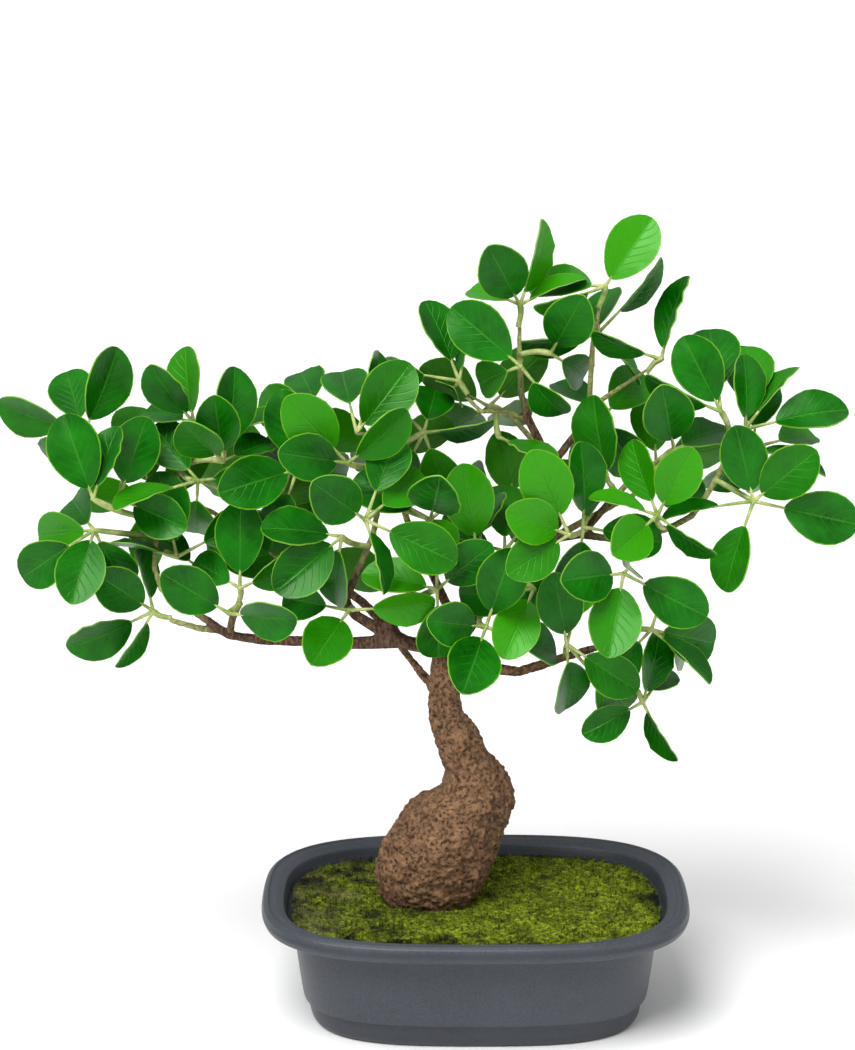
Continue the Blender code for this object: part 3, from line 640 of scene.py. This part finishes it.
def makeMoss():
    plan = mossPlan
    moss = copyOfNode("moss", "moss")
    applyModifier(moss, "REMESH", mode="VOXEL", voxel_size=plan["voxel"])
    applyModifier(moss, "SMOOTH", factor=0.5, iterations=2)
    displace(moss, "mossLumps", plan["lumpSize"], plan["lump"], 0.62)
    displace(moss, "mossCrumbs", plan["crumb"], plan["crumb"], 0.6)
    moss.data.materials.append(mossSurface())
    rng = random.Random(5)
    tops = [face for face in moss.data.polygons
            if face.normal.z > 0.6 and face.center.z > plan["tuftsAbove"]]
    tuft = makeTuft()
    tuft.data.materials.append(moss.data.materials[0])
    tufts = []
    for face in rng.sample(tops, min(plan["tufts"], len(tops))):
        size = plan["tuftHeight"] * rng.uniform(*plan["tuftSizes"])
        turn = Matrix.Rotation(rng.uniform(0, math.tau), 4, "Z")
        copy = bpy.data.objects.new("tuft", tuft.data.copy())
        copy.data.transform(Matrix.Translation(face.center) @ turn @ Matrix.Scale(size, 4))
        bpy.context.scene.collection.objects.link(copy)
        tufts.append(copy)
    bpy.data.objects.remove(tuft, do_unlink=True)
    pick(moss, *tufts)
    bpy.ops.object.join()
    setPiece(moss, "moss")
    print("moss:", len(moss.data.polygons), "faces")


makeMoss()


def dressSoil():
    look = Surface("soil", Roughness=0.95)
    grains = look.speckle((0.015, 0.01, 0.007), (0.07, 0.045, 0.03), 400.0)
    look.color(grains.outputs["Color"])
    look.bump(grains.outputs["Mask"], 0.001)
    soil = frame["nodes"]["soil"]
    soil.data.materials.clear()
    soil.data.materials.append(look.material)


dressSoil()


potPlan = {"slate": (0.024, 0.029, 0.038), "worn": (0.045, 0.052, 0.066), "grain": 900.0,
           "fleck": (0.1, 0.11, 0.135), "shade": (0.014, 0.017, 0.022),
           "shadeUnderLip": 0.0535, "footShade": (0.012, 0.009),    # heights that get painted shade: a band under the lip, and the base
           "rimAbove": 57 * mm, "groove": 0.9 * mm, "rounding": 0.5 * mm}


def potSurface():
    plan = potPlan
    look = Surface("potPlastic", Roughness=0.45, IOR=1.48)
    cloud = look.speckle(plan["slate"], plan["worn"], 22.0, 0.3, 0.8)
    grain = look.speckle((0, 0, 0), (1, 1, 1), plan["grain"], 0.35, 0.65)
    place = look.nodes.new("ShaderNodeTexCoord")
    split = look.nodes.new("ShaderNodeSeparateXYZ")
    look.links.new(place.outputs["Object"], split.inputs["Vector"])
    height = split.outputs["Z"]
    flecks = look.math("MULTIPLY", grain.outputs["Mask"], 0.3)
    grained = look.mix(flecks, cloud.outputs["Color"], plan["fleck"])
    # painted shade: a dark band under the rolled lip and a darker base
    fromLip = look.math("ABSOLUTE", look.math("SUBTRACT", height, plan["shadeUnderLip"]))
    lip = look.ramp(fromLip, 0.0022, 0.0008)
    footShade = look.ramp(height, *plan["footShade"])
    paintedShadeMask = look.math("MULTIPLY", look.math("MAXIMUM", lip, footShade), 0.45)
    look.color(look.mix(paintedShadeMask, grained, plan["shade"]))
    look.roughness(look.ramp(cloud.outputs["Mask"], 0.0, 1.0, 0.38, 0.52))
    look.bump(grain.outputs["Mask"], 0.00012, 0.5)
    return look.material


def makePot():
    plan = potPlan
    pot = copyOfNode("pot", "pot")
    bpy.ops.object.mode_set(mode="EDIT")
    bpy.ops.mesh.select_all(action="SELECT")
    bpy.ops.mesh.tris_convert_to_quads(face_threshold=math.radians(30), shape_threshold=math.radians(60))
    # a shallow groove parts the rolled lip from the inner band
    bpy.ops.mesh.select_all(action="DESELECT")
    edit = bmesh.from_edit_mesh(pot.data)
    for face in edit.faces:
        face.select_set(face.normal.z > 0.95 and face.calc_center_median().z > plan["rimAbove"])
    bmesh.update_edit_mesh(pot.data)
    bpy.ops.mesh.inset(thickness=plan["groove"], use_boundary=True)
    bpy.ops.transform.translate(value=(0, 0, -plan["groove"]))
    bpy.ops.object.mode_set(mode="OBJECT")
    applyModifier(pot, "BEVEL", width=plan["rounding"], segments=2, limit_method="ANGLE",
                  angle_limit=math.radians(28))
    applyModifier(pot, "SUBSURF", levels=2, render_levels=2)
    pot.data.materials.append(potSurface())
    pick(pot)
    bpy.ops.object.shade_smooth_by_angle(angle=math.radians(55))
    setPiece(pot, "pot")
    print("pot:", len(pot.data.polygons), "faces")


makePot()


viewPlan = {"aim": (-0.0223, 0, 0.2333), "rise": 14.64, "away": 1.5, "lens": 113.17,
            "floor": 16, "sun": 3.4, "sunSpread": 36, "sunAim": (0.35, 0.62, -1.0),
            "sky": (("From Min", 0.1), ("From Max", 0.9), ("To Min", 0.32), ("To Max", 0.55))}


def makeStage():
    deselectAll()
    bpy.ops.mesh.primitive_plane_add(size=viewPlan["floor"], location=(0, 0, 0))
    floor = bpy.context.object
    floor.name = "floor"
    look = Surface("floorPaper", Roughness=0.9)
    paper = look.speckle((0.9, 0.9, 0.9), (0.92, 0.92, 0.92), 900.0)
    look.color(paper.outputs["Color"])
    floor.data.materials.append(look.material)


def addSoftLight(name, place, size, power):
    light = bpy.data.lights.new(name, "AREA")
    light.shape = "DISK"
    light.size = size
    light.energy = power
    holder = bpy.data.objects.new(name, light)
    holder.location = place
    holder.rotation_euler = (Vector((0, 0, 0.2)) - Vector(place)).to_track_quat("-Z", "Y").to_euler()
    bpy.context.scene.collection.objects.link(holder)


def makeLight():
    world = bpy.data.worlds.new("studio")
    world.use_nodes = True
    nodes, links = world.node_tree.nodes, world.node_tree.links
    # bright overhead, dimmer round the sides, white below the horizon
    place, split = nodes.new("ShaderNodeTexCoord"), nodes.new("ShaderNodeSeparateXYZ")
    links.new(place.outputs["Generated"], split.inputs["Vector"])
    overhead, below = nodes.new("ShaderNodeMapRange"), nodes.new("ShaderNodeMath")
    for key, value in viewPlan["sky"]:
        overhead.inputs[key].default_value = value
    below.operation = "LESS_THAN"
    below.inputs[1].default_value = 0.0
    brightest = nodes.new("ShaderNodeMath")
    brightest.operation = "MAXIMUM"
    links.new(split.outputs["Z"], overhead.inputs["Value"])
    links.new(split.outputs["Z"], below.inputs[0])
    links.new(overhead.outputs["Result"], brightest.inputs[0])
    links.new(below.outputs[0], brightest.inputs[1])
    nodes["Background"].inputs["Color"].default_value = (1, 1, 1, 1)
    links.new(brightest.outputs[0], nodes["Background"].inputs["Strength"])
    bpy.context.scene.world = world
    sun = bpy.data.lights.new("keyLight", "SUN")
    sun.energy = viewPlan["sun"]
    sun.angle = math.radians(viewPlan["sunSpread"])
    key = bpy.data.objects.new("keyLight", sun)
    key.rotation_euler = Vector(viewPlan["sunAim"]).to_track_quat("-Z", "Y").to_euler()
    bpy.context.scene.collection.objects.link(key)
    addSoftLight("fillLight", (1.2, -1.0, 0.8), 1.0, 3)


def makeCamera():
    plan = viewPlan
    rise = math.radians(plan["rise"])
    camera = bpy.data.cameras.new("camera")
    camera.lens = plan["lens"]
    camera.sensor_width = 36
    camera.clip_end = 20
    holder = bpy.data.objects.new("camera", camera)
    away = Vector((0, -math.cos(rise), math.sin(rise))) * plan["away"]
    holder.location = Vector(plan["aim"]) + away
    holder.rotation_euler = (math.pi / 2 - rise, 0, 0)
    bpy.context.scene.collection.objects.link(holder)
    bpy.context.scene.camera = holder


makeStage()
makeLight()
makeCamera()
bpy.context.scene.view_settings.view_transform = "Standard"
print("stage set")
